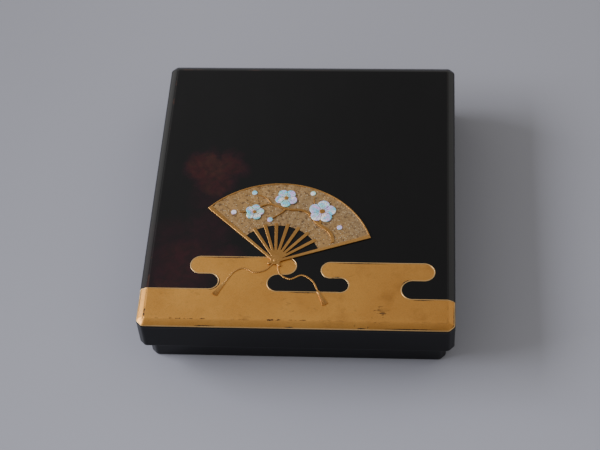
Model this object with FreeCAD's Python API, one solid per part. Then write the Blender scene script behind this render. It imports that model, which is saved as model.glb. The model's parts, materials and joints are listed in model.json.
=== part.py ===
"""A lacquered writing box: a box of mitred boards under an overlapping lid, fitted out for brush writing.

Millimetres. The origin is the middle of the base, +X is the box's right, +Y its back and +Z is up.
"""

import FreeCAD
import Part

import math
import os

from FreeCAD import Vector

# Sizes of the lid
lid_width = 218.0
lid_depth = 242.5
box_height = 46.0
lid_corner_cut = 4.2
lid_inner_radius = 1.5
corner_bend_share = 0.34
bevel_width = 5.4
bevel_drop = 3.2
bevel_swell = 0.4
ridge_rounding = 2.4
bevel_edge_rounding = 0.8
lid_wall = 4.4
lid_panel_thickness = 5.0
lid_mouth_height = 19.2
lid_mouth_rounding = 1.0
lid_gap = 1.1

# Sizes of the box under the lid
body_wall = 4.5
body_corner_cut = 4.4
body_inner_radius = 1.5
body_rim_rounding = 1.2
body_foot_rounding = 0.8
body_floor = 4.5
floor_rebate = 2.0

# Sizes of the two lift-out trays and of the blocks that carry them
tray_width = 53.0
tray_head_gap = 2.5
tray_wall = 3.0
tray_floor = 2.5
tray_rebate = 1.2
tray_corner_radius = 2.5
tray_inner_radius = 1.1
tray_rim_rounding = 0.9
tray_foot_rounding = 0.5
tray_gap = 0.5
support_height = 10.0
support_depth = 9.0
support_side_gap = 1.5

# Sizes of the lift-out board between the trays
board_base_thickness = 2.5
board_top_thickness = 3.5
board_side_gap = 0.6
board_end_gap = 0.5
board_corner_radius = 1.5
board_edge_rounding = 0.8
runner_width = 8.0
runner_height = 8.0
finger_wall = 4.4

# Sizes of the inkstone
stone_side_margin = 11.9
stone_thickness = 15.0
stone_corner_radius = 7.0
stone_edge_rounding = 1.2
stone_rim = 4.5
stone_rim_rounding = 0.8
stone_land_drop = 1.6
stone_well_drop = 8.5
stone_well_length = 26.0
stone_slope_length = 22.0
stone_inner_radius = 9.0
stone_floor_rounding = 5.0
stone_gap = 0.4
stone_front_offset = 9.0
stone_dropper_gap = 19.5

# Sizes of the water dropper
dropper_radius = 23.0
dropper_height = 12.0
dropper_wall = 1.2
dropper_foot_rounding = 2.0
dropper_dome = 3.0
dropper_gap = 0.4
dropper_back_offset = 38.0
air_hole_radius = 1.3
spout_radius = 2.8
spout_bore = 1.3
spout_height = 2.6
spout_reach = 15.0
flute_count = 20
flute_radius = 1.1
flute_depth = 0.45
flute_inner_reach = 6.0
flute_outer_reach = 11.0

# Sizes of the brushes and their caps
broad_handle_radius = 3.6
fine_handle_radius = 2.9
handle_end_rounding = 1.0
handle_tenon = 4.0
knot_rise = 0.35
knot_length = 1.6
knot_shares = (0.3, 0.68)
collar_step = 0.5
collar_wall = 1.1
collar_length = 9.0
hair_length = 26.0
hair_belly = 0.15
hair_belly_share = 0.3
hair_tip_radius = 0.35
cap_fit = 0.06
cap_wall = 1.15
cap_length = 40.0
cap_end_thickness = 3.0
cap_end_rounding = 1.0
cap_lap = 8.0
brush_spacing = 23.0
brush_front_offset = 4.0
cap_draw_room = 42.5

# Sizes of the notched bars that the brushes and tools lie in
rest_thickness = 6.0
rest_height = 7.0
rest_gap = 0.25
rest_side_gap = 0.3
tool_lift = 3.0
brush_rest_shares = (0.14, 0.78)
tool_rest_shares = (0.11, 0.67)

# Sizes of the ink stick and of the clip that holds it
ink_width = 13.0
ink_thickness = 7.5
ink_length = 74.0
ink_edge_rounding = 1.0
ink_grip = 20.0
clip_width = 16.0
clip_thickness = 11.0
clip_length = 92.0
clip_edge_rounding = 1.5
clip_slit = 1.2
clip_slit_length = 66.0
clip_fit = 0.08
ring_length = 5.0
ring_wall = 0.9
ring_fit = 0.08
ring_from_jaw = 4.0
clip_offset = -13.4
clip_front_offset = 8.0

# Sizes of the paper knife
knife_handle_width = 11.0
knife_handle_thickness = 6.5
knife_handle_length = 96.0
knife_handle_rounding = 2.2
blade_width = 9.0
blade_thickness = 1.4
blade_length = 58.0
blade_slant = 16.0
blade_tang = 14.0
knife_offset = 3.8
knife_front_offset = 9.0

# Sizes of the awl
awl_handle_radius = 4.2
awl_handle_waist = 3.3
awl_handle_length = 82.0
awl_end_rounding = 1.2
awl_point_radius = 1.3
awl_tip_radius = 0.2
awl_point_length = 54.0
awl_tang = 10.0
awl_offset = 17.2
awl_front_offset = 9.0

# Sizes of the gold cloud bank that is laid into the lid
gold_thickness = 0.3
gold_edge_height = 0.5

# Sizes of the folding fan that stands in relief on the lid
fan_pivot_x = -16.0
fan_front_offset = 55.25
fan_outer_radius = 68.0
fan_leaf_width = 37.0
fan_first_angle = 20.0
fan_last_angle = 136.0
fan_folds = 14
fan_valley = 0.45
fan_ridge = 0.85
fan_rim_width = 1.0
fan_rim_relief = 1.0
stick_count = 7
stick_hub_width = 1.6
stick_leaf_width = 2.6
stick_lap = 2.0
stick_relief = 0.7
hub_radius = 3.6
guard_width = 3.0
guard_hub_share = 0.6
guard_relief = 1.0
guard_tail = 6.0
rivet_radius = 1.8
rivet_rise = 0.5

# Sizes of the plum branch, blossoms and buds on the fan
branch_relief = 1.2
branch_half_width = 1.2
blossom_relief = 1.3
large_blossom_radius = 9.8
middle_blossom_radius = 8.0
small_blossom_radius = 6.8
bud_relief = 1.2
bud_radius = 1.9
petal_gap = 0.35
petal_reach_share = 0.56
petal_radius_share = 0.44
centre_radius_share = 0.2
centre_rise = 0.15

# Sizes of the silk cord of the fan
cord_half_width = 0.65
cord_relief = 0.6
tassel_neck = 1.1
tassel_skirt = 2.1
tassel_length = 13.0
tassel_neck_share = 0.25
tassel_relief = 0.8

# Length by which cutting shapes overrun what they cut, and the slack for telling edges apart
overrun = 2.0
slack = 0.01

# Places worked out from the sizes
lid_underside = box_height - lid_panel_thickness
bevel_foot = box_height - bevel_drop
body_width = lid_width - 2 * (lid_wall + lid_gap)
body_depth = lid_depth - 2 * (lid_wall + lid_gap)
inside_width = body_width - 2 * body_wall
inside_depth = body_depth - 2 * body_wall
tray_length = inside_depth - 2 * tray_gap
tray_centre = inside_width / 2 - tray_gap - tray_width / 2
tray_base = body_floor + support_height
tray_height = lid_underside - tray_head_gap - tray_base
tray_bed = tray_base + tray_floor
tray_inside_front = tray_wall - tray_length / 2
tray_inside_width = tray_width - 2 * tray_wall
rest_top = tray_bed + rest_height
cap_end = collar_length - cap_lap + cap_length
handle_length = tray_length - 2 * tray_wall - brush_front_offset - cap_end - cap_draw_room
board_width = 2 * (tray_centre - tray_width / 2 - board_side_gap)
board_length = inside_depth - 2 * board_end_gap
board_base = body_floor + runner_height
board_step = board_base + board_base_thickness
board_top = board_step + board_top_thickness
dropper_centre = board_length / 2 - dropper_back_offset
stone_width = board_width - 2 * stone_side_margin
stone_front = stone_front_offset - board_length / 2
stone_length = dropper_centre - dropper_radius - stone_dropper_gap - stone_front
stone_centre = stone_front + stone_length / 2
finger_radius = stone_side_margin - finger_wall
stone_top = board_step + stone_thickness
fan_pivot_y = fan_front_offset - lid_depth / 2
fan_inner_radius = fan_outer_radius - fan_leaf_width
fan_sweep = fan_last_angle - fan_first_angle

# Edge of the cloud bank in shares of half the lid, as straight steps and as arcs by way of a point
cloud_start_shares = (1.08, -1.08)
cloud_edge_shares = (
    ((1.08, -0.80),), ((0.74, -0.80),), ((0.66, -0.735), (0.74, -0.67)), ((0.80, -0.67),),
    ((0.87, -0.61), (0.80, -0.55)), ((0.22, -0.55),), ((0.15, -0.605), (0.22, -0.66)), ((0.26, -0.66),),
    ((0.33, -0.71), (0.26, -0.76)), ((-0.12, -0.76),), ((-0.19, -0.70), (-0.12, -0.64)), ((-0.08, -0.64),),
    ((-0.01, -0.58), (-0.08, -0.52)), ((-0.62, -0.52),), ((-0.69, -0.58), (-0.62, -0.64)), ((-0.56, -0.64),),
    ((-0.50, -0.695), (-0.56, -0.75)), ((-1.08, -0.75),), ((-1.08, -1.08),),
)

# Branch points: shares of the fan's sweep, of the leaf's width for the reach, and of the branch's half width
branch_shares = (
    ((0.02, 0.30, 0.93), (0.14, 0.36, 1.0), (0.27, 0.33, 0.93), (0.40, 0.44, 0.8), (0.55, 0.40, 0.68),
     (0.68, 0.52, 0.53), (0.80, 0.47, 0.4), (0.90, 0.55, 0.28)),
    ((0.24, 0.35, 0.56), (0.30, 0.52, 0.5), (0.37, 0.66, 0.4), (0.40, 0.82, 0.25)),
    ((0.55, 0.42, 0.43), (0.60, 0.27, 0.37), (0.67, 0.17, 0.25)),
    ((0.66, 0.50, 0.4), (0.69, 0.66, 0.34), (0.74, 0.80, 0.22)),
)

# Blossoms: the place as above, then the turn as a share of a full one, in order from the largest
blossom_shares = ((0.30, 0.60, 0.03), (0.565, 0.66, 0.14), (0.80, 0.40, 0.22))
bud_shares = ((0.42, 0.90), (0.69, 0.14), (0.755, 0.86), (0.93, 0.60), (0.12, 0.58))

# The two ends of the fan's cord, in shares of the fan's outer radius from its pivot
cord_shares = (
    ((-0.02, -0.03), (-0.10, -0.12), (-0.21, -0.15), (-0.32, -0.10), (-0.42, -0.15), (-0.50, -0.28)),
    ((0.02, -0.03), (0.05, -0.16), (0.16, -0.23), (0.28, -0.18), (0.39, -0.25), (0.45, -0.37)),
)


def traced(start, steps):
    """A closed wire from a start point along steps: a straight one has an end, an arc a middle and an end."""
    edges = []
    last = start
    for step in steps:
        if len(step) == 2:
            edges.append(Part.Arc(last, step[0], step[1]).toShape())
        else:
            edges.append(Part.LineSegment(last, step[0]).toShape())
        last = step[-1]
    if last.distanceToPoint(start) > slack:
        edges.append(Part.LineSegment(last, start).toShape())
    return Part.Wire(edges)


def rounded_outline(width, depth, radius, z):
    """A closed wire: a rectangle about the Z axis with round corners."""
    half_w = width / 2
    half_d = depth / 2
    near_w = half_w - radius
    near_d = half_d - radius
    bulge = radius * math.sqrt(0.5)
    steps = []
    for sx, sy in ((1, -1), (1, 1), (-1, 1), (-1, -1)):
        along_x = Vector(sx * near_w, sy * half_d, z)
        along_y = Vector(sx * half_w, sy * near_d, z)
        ends = (along_x, along_y) if sx * sy < 0 else (along_y, along_x)
        steps.append((ends[0],))
        steps.append((Vector(sx * (near_w + bulge), sy * (near_d + bulge), z), ends[1]))
    return traced(steps[0][0], steps[1:])


def slab(width, depth, radius, low, high):
    """A plate about the Z axis with round corners, between two heights."""
    return Part.Face(rounded_outline(width, depth, radius, low)).extrude(Vector(0, 0, high - low))


def cut_outline(width, depth, cut, z):
    """A closed wire: a rectangle about the Z axis with its corners cut off at 45 degrees and each bend eased."""
    half_w = width / 2
    half_d = depth / 2
    corners = []
    for sx, sy in ((1, -1), (1, 1), (-1, 1), (-1, -1)):
        along_x = Vector(sx * (half_w - cut), sy * half_d, z)
        along_y = Vector(sx * half_w, sy * (half_d - cut), z)
        corners += (along_x, along_y) if sx * sy < 0 else (along_y, along_x)
    bend = cut * corner_bend_share
    sag = bend * math.tan(math.radians(45) / 4)
    steps = []
    for i, corner in enumerate(corners):
        before = (corners[i - 1] - corner).normalize()
        after = (corners[(i + 1) % len(corners)] - corner).normalize()
        inward = (before + after).normalize()
        steps.append((corner + before * bend,))
        steps.append((corner + inward * sag, corner + after * bend))
    return traced(steps[0][0], steps[1:])


def cut_slab(width, depth, cut, low, high):
    """A plate about the Z axis with cut corners, between two heights."""
    return Part.Face(cut_outline(width, depth, cut, low)).extrude(Vector(0, 0, high - low))


def rod(width, height, radius, front, back, x, z):
    """A bar along Y with a round-cornered section, its middle at x and z."""
    bar = Part.Face(rounded_outline(width, height, radius, front)).extrude(Vector(0, 0, back - front))
    bar.rotate(Vector(0, 0, 0), Vector(1, 0, 0), -90)
    bar.translate(Vector(x, 0, z))
    return bar


def block(x0, x1, y0, y1, z0, z1):
    """A plain block between two corners."""
    return Part.makeBox(x1 - x0, y1 - y0, z1 - z0, Vector(x0, y0, z0))


def pin(radius, front, back, x, z):
    """A cylinder along Y, its axis at x and z."""
    return Part.makeCylinder(radius, back - front, Vector(x, front, z), Vector(0, 1, 0))


def upright_prism(points, height):
    """A prism on a polygon of points."""
    return Part.Face(Part.makePolygon(points + points[:1])).extrude(Vector(0, 0, height))


def disc(centre, radius, height):
    """A low cylinder that stands on a point."""
    return Part.makeCylinder(radius, height, centre)


def turned_along_y(profile, x, z):
    """A solid turned round an axis along Y, from steps of a radius and a place."""
    steps = [tuple(Vector(radius, y, 0) for radius, y in step) for step in profile]
    solid = Part.Face(traced(steps[0][0], steps[1:])).revolve(Vector(0, 0, 0), Vector(0, 1, 0), 360)
    solid.translate(Vector(x, 0, z))
    return solid


def turned_upright(profile, x, y):
    """A solid turned round an upright axis, from steps of a radius and a height."""
    steps = [tuple(Vector(radius, 0, z) for radius, z in step) for step in profile]
    solid = Part.Face(traced(steps[0][0], steps[1:])).revolve(Vector(0, 0, 0), Vector(0, 0, 1), 360)
    solid.translate(Vector(x, y, 0))
    return solid


def moved(shape, x, y, z):
    """A copy of a shape, shifted."""
    copy = shape.copy()
    copy.translate(Vector(x, y, z))
    return copy


def level_edges(shape, height):
    """The edges of a shape that lie flat at one height."""
    return [edge for edge in shape.Edges
            if abs(edge.BoundBox.ZMin - height) < slack and abs(edge.BoundBox.ZMax - height) < slack]


def end_edges(shape, place):
    """The edges of a shape that lie in the upright plane at one place along Y."""
    return [edge for edge in shape.Edges
            if abs(edge.BoundBox.YMin - place) < slack and abs(edge.BoundBox.YMax - place) < slack]


def mitre_wedge(side, width, depth, reach, low, high):
    """The prism that keeps one side of a frame, cut at 45 degrees at its two corners."""
    half_w = width / 2
    half_d = depth / 2
    flip = -1 if side in ("front", "left") else 1
    if side in ("front", "back"):
        points = ((-half_w - overrun, flip * (half_d + overrun)), (half_w + overrun, flip * (half_d + overrun)),
                  (half_w - reach, flip * (half_d - reach)), (reach - half_w, flip * (half_d - reach)))
    else:
        points = ((flip * (half_w + overrun), -half_d - overrun), (flip * (half_w + overrun), half_d + overrun),
                  (flip * (half_w - reach), half_d - reach), (flip * (half_w - reach), reach - half_d))
    return upright_prism([Vector(x, y, low - overrun) for x, y in points], high - low + 2 * overrun)


def mitred_walls(frame, width, depth, reach, low, high):
    """Splits a rectangular frame into its four mitred boards."""
    return {side: frame.common(mitre_wedge(side, width, depth, reach, low, high))
            for side in ("front", "back", "left", "right")}


def boarded_box(name, blank, width, depth, base, height, wall, floor, rebate, inner_radius, rim, foot):
    """A blank made into an open box of four mitred walls round a floor board that is let into a rebate."""
    top = base + height
    frame = blank.makeFillet(foot, level_edges(blank, base))
    inner_width = width - 2 * wall
    inner_depth = depth - 2 * wall
    frame = frame.cut(slab(inner_width, inner_depth, inner_radius, base - overrun, top + overrun))
    frame = frame.makeFillet(rim, level_edges(frame, top))
    board = slab(inner_width + 2 * rebate, inner_depth + 2 * rebate, inner_radius, base, base + floor)
    frame = frame.cut(board)
    walls = mitred_walls(frame, width, depth, wall + inner_radius, base, top)
    pieces = {name + "_" + side + "_wall": walls[side] for side in walls}
    pieces[name + "_floor"] = board
    return pieces


def bevelled_panel(shrink):
    """The lid's top board with its bevelled edge, or that board with its outer skin taken off."""
    width = lid_width - 2 * shrink
    depth = lid_depth - 2 * shrink
    top = box_height - shrink
    foot = bevel_foot - shrink
    edge_cut = lid_corner_cut - shrink * (2 - math.sqrt(2))
    halfway = (foot + top) / 2 + bevel_swell
    outlines = [cut_outline(width - 2 * inset, depth - 2 * inset, edge_cut - inset * (2 - math.sqrt(2)), z)
                for inset, z in ((0, foot), (bevel_width / 2, halfway), (bevel_width, top))]
    panel = Part.makeLoft(outlines, True, False)
    panel = panel.fuse(cut_slab(width, depth, edge_cut, lid_underside, foot)).removeSplitter()
    panel = panel.makeFillet(ridge_rounding, level_edges(panel, top))
    return panel.makeFillet(bevel_edge_rounding, level_edges(panel, foot))


def cloud_prism():
    """An upright prism on the cloud bank's outline, from just above the bevel's foot to above the lid."""
    def place(shares):
        return Vector(shares[0] * lid_width / 2, shares[1] * lid_depth / 2, bevel_foot + gold_edge_height)

    steps = [tuple(place(shares) for shares in step) for step in cloud_edge_shares]
    return Part.Face(traced(place(cloud_start_shares), steps)).extrude(Vector(0, 0, bevel_drop + overrun))


def lid_pieces():
    """The lid's top board and four walls, and the gold that is laid into its skin."""
    panel = bevelled_panel(0)
    gold = panel.cut(bevelled_panel(gold_thickness)).common(cloud_prism())
    frame = cut_slab(lid_width, lid_depth, lid_corner_cut, lid_mouth_height, lid_underside)
    inner_width = lid_width - 2 * lid_wall
    inner_depth = lid_depth - 2 * lid_wall
    frame = frame.cut(slab(inner_width, inner_depth, lid_inner_radius,
                           lid_mouth_height - overrun, lid_underside + overrun))
    frame = frame.makeFillet(lid_mouth_rounding, level_edges(frame, lid_mouth_height))
    walls = mitred_walls(frame, lid_width, lid_depth, lid_wall + lid_inner_radius,
                         lid_mouth_height, lid_underside)
    pieces = {"lid_" + side + "_wall": walls[side] for side in walls}
    pieces["lid_panel"] = panel.cut(gold)
    pieces["gold_cloud"] = gold
    return pieces


def fan_point(angle, radius, height):
    """A point over the lid, by its angle and distance from the fan's pivot."""
    turn = math.radians(angle)
    return Vector(fan_pivot_x + radius * math.cos(turn), fan_pivot_y + radius * math.sin(turn),
                  box_height + height)


def fan_direction(angle):
    """The level direction away from the fan's pivot at an angle."""
    return Vector(math.cos(math.radians(angle)), math.sin(math.radians(angle)), 0)


def leaf_point(shares):
    """A point of the lid under the fan's leaf, by its shares of the sweep and of the leaf's width."""
    return fan_point(fan_first_angle + shares[0] * fan_sweep,
                     fan_inner_radius + shares[1] * fan_leaf_width, 0)


def fold_angles():
    """The angles of the leaf's folds, valleys and ridges in turn."""
    halves = 2 * fan_folds
    return [fan_first_angle + fan_sweep * i / halves for i in range(halves + 1)]


def fan_leaf():
    """The folded sheet: pleats that all run to the pivot, so that each half pleat is flat."""
    angles = fold_angles()
    last = len(angles) - 1
    rises = [fan_ridge if i % 2 else fan_valley for i in range(last + 1)]
    narrowing = fan_inner_radius / fan_outer_radius
    low_in = [fan_point(angle, fan_inner_radius, 0) for angle in angles]
    low_out = [fan_point(angle, fan_outer_radius, 0) for angle in angles]
    high_in = [fan_point(angle, fan_inner_radius, rise * narrowing) for angle, rise in zip(angles, rises)]
    high_out = [fan_point(angle, fan_outer_radius, rise) for angle, rise in zip(angles, rises)]
    outlines = [low_in + low_out[::-1]]
    for i in range(last):
        outlines.append([high_in[i], high_out[i], high_out[i + 1], high_in[i + 1]])
        outlines.append([low_in[i], low_in[i + 1], high_in[i + 1], high_in[i]])
        outlines.append([low_out[i], low_out[i + 1], high_out[i + 1], high_out[i]])
    for i in (0, last):
        outlines.append([low_in[i], low_out[i], high_out[i], high_in[i]])
    leaf = Part.Solid(Part.makeShell([Part.Face(Part.makePolygon(line + line[:1])) for line in outlines]))
    return leaf if leaf.Volume > 0 else leaf.reversed()


def fan_frame(leaf):
    """The sticks, the two guards and the hub, joined as one raised form that laps onto the leaf."""
    pivot = fan_point(0, 0, 0)
    shapes = [disc(pivot, hub_radius, guard_relief)]
    for i in range(stick_count):
        along = fan_direction(fan_first_angle + fan_sweep * (i + 1) / (stick_count + 1))
        across = Vector(-along.y, along.x, 0)
        tip = pivot + along * (fan_inner_radius + stick_lap)
        hub_side = across * (stick_hub_width / 2)
        leaf_side = across * (stick_leaf_width / 2)
        shapes.append(upright_prism([pivot - hub_side, tip - leaf_side, tip + leaf_side, pivot + hub_side],
                                    stick_relief))
    for angle, side in ((fan_first_angle, -1), (fan_last_angle, 1)):
        along = fan_direction(angle)
        outward = Vector(-along.y, along.x, 0) * side
        tail = pivot - along * guard_tail
        tip = pivot + along * (fan_outer_radius + fan_rim_width)
        shapes.append(upright_prism([tail, tip, tip + outward * guard_width,
                                     tail + outward * (guard_width * guard_hub_share)], guard_relief))
    return shapes[0].multiFuse(shapes[1:]).removeSplitter().cut(leaf)


def fan_rim(leaf, frame):
    """The raised line along the leaf's outer edge, between the two guards."""
    angles = fold_angles()
    inner = [fan_point(angle, fan_outer_radius, 0) for angle in angles]
    outer = [fan_point(angle, fan_outer_radius + fan_rim_width, 0) for angle in reversed(angles)]
    return upright_prism(inner + outer, fan_rim_relief).cut(leaf).cut(frame)


def dome_rise(reach, radius, rise):
    """How far a shallow dome has risen above its edge at a distance from its middle."""
    curve = (radius ** 2 + rise ** 2) / (2 * rise)
    return math.sqrt(curve ** 2 - reach ** 2) - (curve - rise)


def fan_rivet():
    """The domed rivet on the hub."""
    seat = box_height + guard_relief
    shoulder = rivet_radius / 2
    return turned_upright([
        ((0, seat),), ((rivet_radius, seat),),
        ((shoulder, seat + dome_rise(shoulder, rivet_radius, rivet_rise)), (0, seat + rivet_rise))],
        fan_pivot_x, fan_pivot_y)


def ribbon(points, half_widths, height):
    """A raised line with smooth sides along points, each with its own half width."""
    left = []
    right = []
    for i, point in enumerate(points):
        along = (points[min(i + 1, len(points) - 1)] - points[max(i - 1, 0)]).normalize()
        across = Vector(-along.y, along.x, 0) * half_widths[i]
        left.append(point + across)
        right.append(point - across)
    left_side = Part.BSplineCurve()
    left_side.interpolate(left)
    right_side = Part.BSplineCurve()
    right_side.interpolate(right[::-1])
    edges = [left_side.toShape(), Part.LineSegment(left[-1], right[-1]).toShape(),
             right_side.toShape(), Part.LineSegment(right[0], left[0]).toShape()]
    return Part.Face(Part.Wire(edges)).extrude(Vector(0, 0, height))


def blossom(shares, radius, leaf):
    """Five petals round a centre, kept apart by a narrow gap, all standing on the leaf."""
    middle = leaf_point(shares)
    heart = disc(middle, radius * centre_radius_share, blossom_relief)
    half_turn = math.radians(36)
    petals = []
    for k in range(5):
        angle = 2 * math.pi * shares[2] + 2 * half_turn * k
        along = Vector(math.cos(angle), math.sin(angle), 0)
        across = Vector(-along.y, along.x, 0)
        apex = middle + along * (petal_gap / 2 / math.sin(half_turn))
        far = apex + along * (2 * radius * math.cos(half_turn))
        side = across * (2 * radius * math.sin(half_turn))
        sector = upright_prism([apex, far - side, far + side], blossom_relief)
        round_petal = disc(middle + along * (radius * petal_reach_share), radius * petal_radius_share,
                           blossom_relief)
        petals.append(round_petal.common(sector).cut(heart).cut(leaf))
    return petals, disc(middle, radius * centre_radius_share, blossom_relief + centre_rise).cut(leaf)


def tassel(end, along):
    """A bell-shaped tassel that hangs on from a cord's end."""
    across = Vector(-along.y, along.x, 0)
    tip = end + along * tassel_length
    waist = end + along * (tassel_length * tassel_neck_share)
    points = [end + across * cord_half_width, waist + across * tassel_neck, tip + across * tassel_skirt,
              tip - across * tassel_skirt, waist - across * tassel_neck, end - across * cord_half_width]
    return upright_prism(points, tassel_relief)


def fan_cord(frame):
    """The two ends of the cord, and the tassels that they carry."""
    cords = []
    tassels = []
    for shares in cord_shares:
        points = [Vector(fan_pivot_x + x * fan_outer_radius, fan_pivot_y + y * fan_outer_radius, box_height)
                  for x, y in shares]
        tassels.append(tassel(points[-1], (points[-1] - points[-2]).normalize()))
        cords.append(ribbon(points, [cord_half_width] * len(points), cord_relief).cut(frame).cut(tassels[-1]))
    return Part.makeCompound(cords), Part.makeCompound(tassels)


def relief_pieces():
    """The folding fan with its plum branch, all raised on the lid."""
    leaf = fan_leaf()
    frame = fan_frame(leaf)
    petals = []
    centres = []
    radii = (large_blossom_radius, middle_blossom_radius, small_blossom_radius)
    for shares, radius in zip(blossom_shares, radii):
        flower, centre = blossom(shares, radius, leaf)
        petals += flower
        centres.append(centre)
    buds = [disc(leaf_point(shares), bud_radius, bud_relief).cut(leaf) for shares in bud_shares]
    twigs = [ribbon([leaf_point(shares) for shares in line],
                    [shares[2] * branch_half_width for shares in line], branch_relief)
             for line in branch_shares]
    branch = twigs[0].multiFuse(twigs[1:]).removeSplitter().cut(leaf).cut(frame)
    cord, tassels = fan_cord(frame)
    return {
        "fan_leaf": leaf,
        "fan_sticks": frame,
        "fan_rim": fan_rim(leaf, frame),
        "fan_rivet": fan_rivet(),
        "fan_cord": cord,
        "fan_tassels": tassels,
        "plum_branch": branch.cut(Part.makeCompound(petals + centres + buds)),
        "plum_petals": Part.makeCompound(petals),
        "plum_centres": Part.makeCompound(centres),
        "plum_buds": Part.makeCompound(buds),
    }


def support_blocks():
    """The four blocks at the ends of the box that the trays stand on."""
    half_block = tray_width / 2 - support_side_gap
    blocks = []
    for x in (-tray_centre, tray_centre):
        for y in (-inside_depth / 2, inside_depth / 2 - support_depth):
            blocks.append(block(x - half_block, x + half_block, y, y + support_depth, body_floor, tray_base))
    return Part.makeCompound(blocks)


def tray_pieces(side, centre):
    """One lift-out tray, shifted from the middle to its place."""
    blank = slab(tray_width, tray_length, tray_corner_radius, tray_base, tray_base + tray_height)
    boards = boarded_box(side + "_tray", blank, tray_width, tray_length, tray_base, tray_height, tray_wall,
                         tray_floor, tray_rebate, tray_inner_radius, tray_rim_rounding, tray_foot_rounding)
    return {name: moved(board, centre, 0, 0) for name, board in boards.items()}


def rest_bars(centre, start, length, shares, notches):
    """The bars across a tray at shares of what lies in them, with the notches taken out of them."""
    half = tray_inside_width / 2 - rest_side_gap
    bars = []
    for share in shares:
        front = tray_inside_front + start + share * length - rest_thickness / 2
        bar = block(centre - half, centre + half, front, front + rest_thickness, tray_bed, rest_top)
        bars.append(bar.cut(notches))
    return Part.makeCompound(bars)


def centre_board_pieces():
    """The two plies of the board between the trays, and the runners under it."""
    base = slab(board_width, board_length, board_corner_radius, board_base, board_step)
    top = slab(board_width, board_length, board_corner_radius, board_step, board_top)
    top = top.makeFillet(board_edge_rounding, level_edges(top, board_top))
    low = board_step - overrun
    high = board_top + overrun
    socket = slab(stone_width + 2 * stone_gap, stone_length + 2 * stone_gap, stone_corner_radius + stone_gap,
                  low, high)
    top = top.cut(moved(socket, 0, stone_centre, 0))
    for x in (-stone_width / 2, stone_width / 2):
        top = top.cut(disc(Vector(x, stone_centre, low), finger_radius, high - low))
    top = top.cut(disc(Vector(0, dropper_centre, low), dropper_radius + dropper_gap, high - low))
    half_length = board_length / 2 - board_corner_radius
    outer = board_width / 2 - board_corner_radius
    runners = [block(x, x + runner_width, -half_length, half_length, body_floor, board_base)
               for x in (-outer, outer - runner_width)]
    return {"board_base": base, "board_top": top, "board_runners": Part.makeCompound(runners)}


def inkstone():
    """The stone: a flat land for grinding that runs down into a well at the back, inside a rim."""
    stone = slab(stone_width, stone_length, stone_corner_radius, board_step, stone_top)
    stone = stone.makeFillet(stone_edge_rounding, level_edges(stone, board_step))
    inner_length = stone_length - 2 * stone_rim
    back = inner_length / 2
    land = stone_top - stone_land_drop
    well = stone_top - stone_well_drop
    slope_end = back - stone_well_length
    slope_start = slope_end - stone_slope_length
    corners = ((-back - overrun, stone_top + overrun), (-back - overrun, land), (slope_start, land),
               (slope_end, well), (back + overrun, well), (back + overrun, stone_top + overrun))
    points = [Vector(-stone_width / 2, y, z) for y, z in corners]
    hollow = Part.Face(Part.makePolygon(points + points[:1])).extrude(Vector(stone_width, 0, 0))
    bends = [edge for place in (slope_start, slope_end) for edge in end_edges(hollow, place)
             if edge.BoundBox.XLength > stone_width - slack]
    hollow = hollow.makeFillet(stone_floor_rounding, bends)
    hollow = hollow.common(slab(stone_width - 2 * stone_rim, inner_length, stone_inner_radius, board_step,
                                stone_top + 2 * overrun))
    stone = stone.cut(hollow)
    stone = stone.makeFillet(stone_rim_rounding, level_edges(stone, stone_top))
    return moved(stone, 0, stone_centre, 0)


def dropper_pieces():
    """The water dropper: a round vessel, its domed top with two holes, and a short spout."""
    rim = board_step + dropper_height
    inner = dropper_radius - dropper_wall
    bowl = turned_upright([((0, board_step),), ((dropper_radius, board_step),), ((dropper_radius, rim),),
                           ((inner, rim),), ((inner, board_step + dropper_wall),),
                           ((0, board_step + dropper_wall),)], 0, dropper_centre)
    bowl = bowl.makeFillet(dropper_foot_rounding, level_edges(bowl, board_step))
    middle = dropper_radius / 2
    edge_top = rim + dropper_wall
    top = turned_upright([
        ((0, rim),), ((dropper_radius, rim),), ((dropper_radius, edge_top),),
        ((middle, edge_top + dome_rise(middle, dropper_radius, dropper_dome)), (0, edge_top + dropper_dome))],
        0, dropper_centre)
    hollow = turned_upright([
        ((0, rim - overrun),), ((inner, rim - overrun),), ((inner, rim),),
        ((inner / 2, rim + dome_rise(inner / 2, inner, dropper_dome)), (0, rim + dropper_dome))],
        0, dropper_centre)
    top = top.cut(hollow)
    for i in range(flute_count):
        angle = 2 * math.pi * i / flute_count
        ends = []
        for reach in (flute_inner_reach, flute_outer_reach):
            surface = edge_top + dome_rise(reach, dropper_radius, dropper_dome)
            ends.append(Vector(reach * math.cos(angle), dropper_centre + reach * math.sin(angle),
                               surface + flute_radius - flute_depth))
        run = ends[1] - ends[0]
        top = top.cut(Part.makeCylinder(flute_radius, run.Length, ends[0], run))
    high = edge_top + dropper_dome + spout_height + overrun
    top = top.cut(disc(Vector(0, dropper_centre, rim - overrun), air_hole_radius, high - rim + overrun))
    spout_y = dropper_centre - spout_reach
    bore = disc(Vector(0, spout_y, rim - overrun), spout_bore, high - rim + overrun)
    top = top.cut(bore)
    spout_top = dropper_wall + dome_rise(spout_reach, dropper_radius, dropper_dome) + spout_height
    spout = disc(Vector(0, spout_y, rim), spout_radius, spout_top)
    return {"dropper_bowl": bowl, "dropper_top": top, "dropper_spout": spout.cut(top).cut(hollow).cut(bore)}


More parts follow.
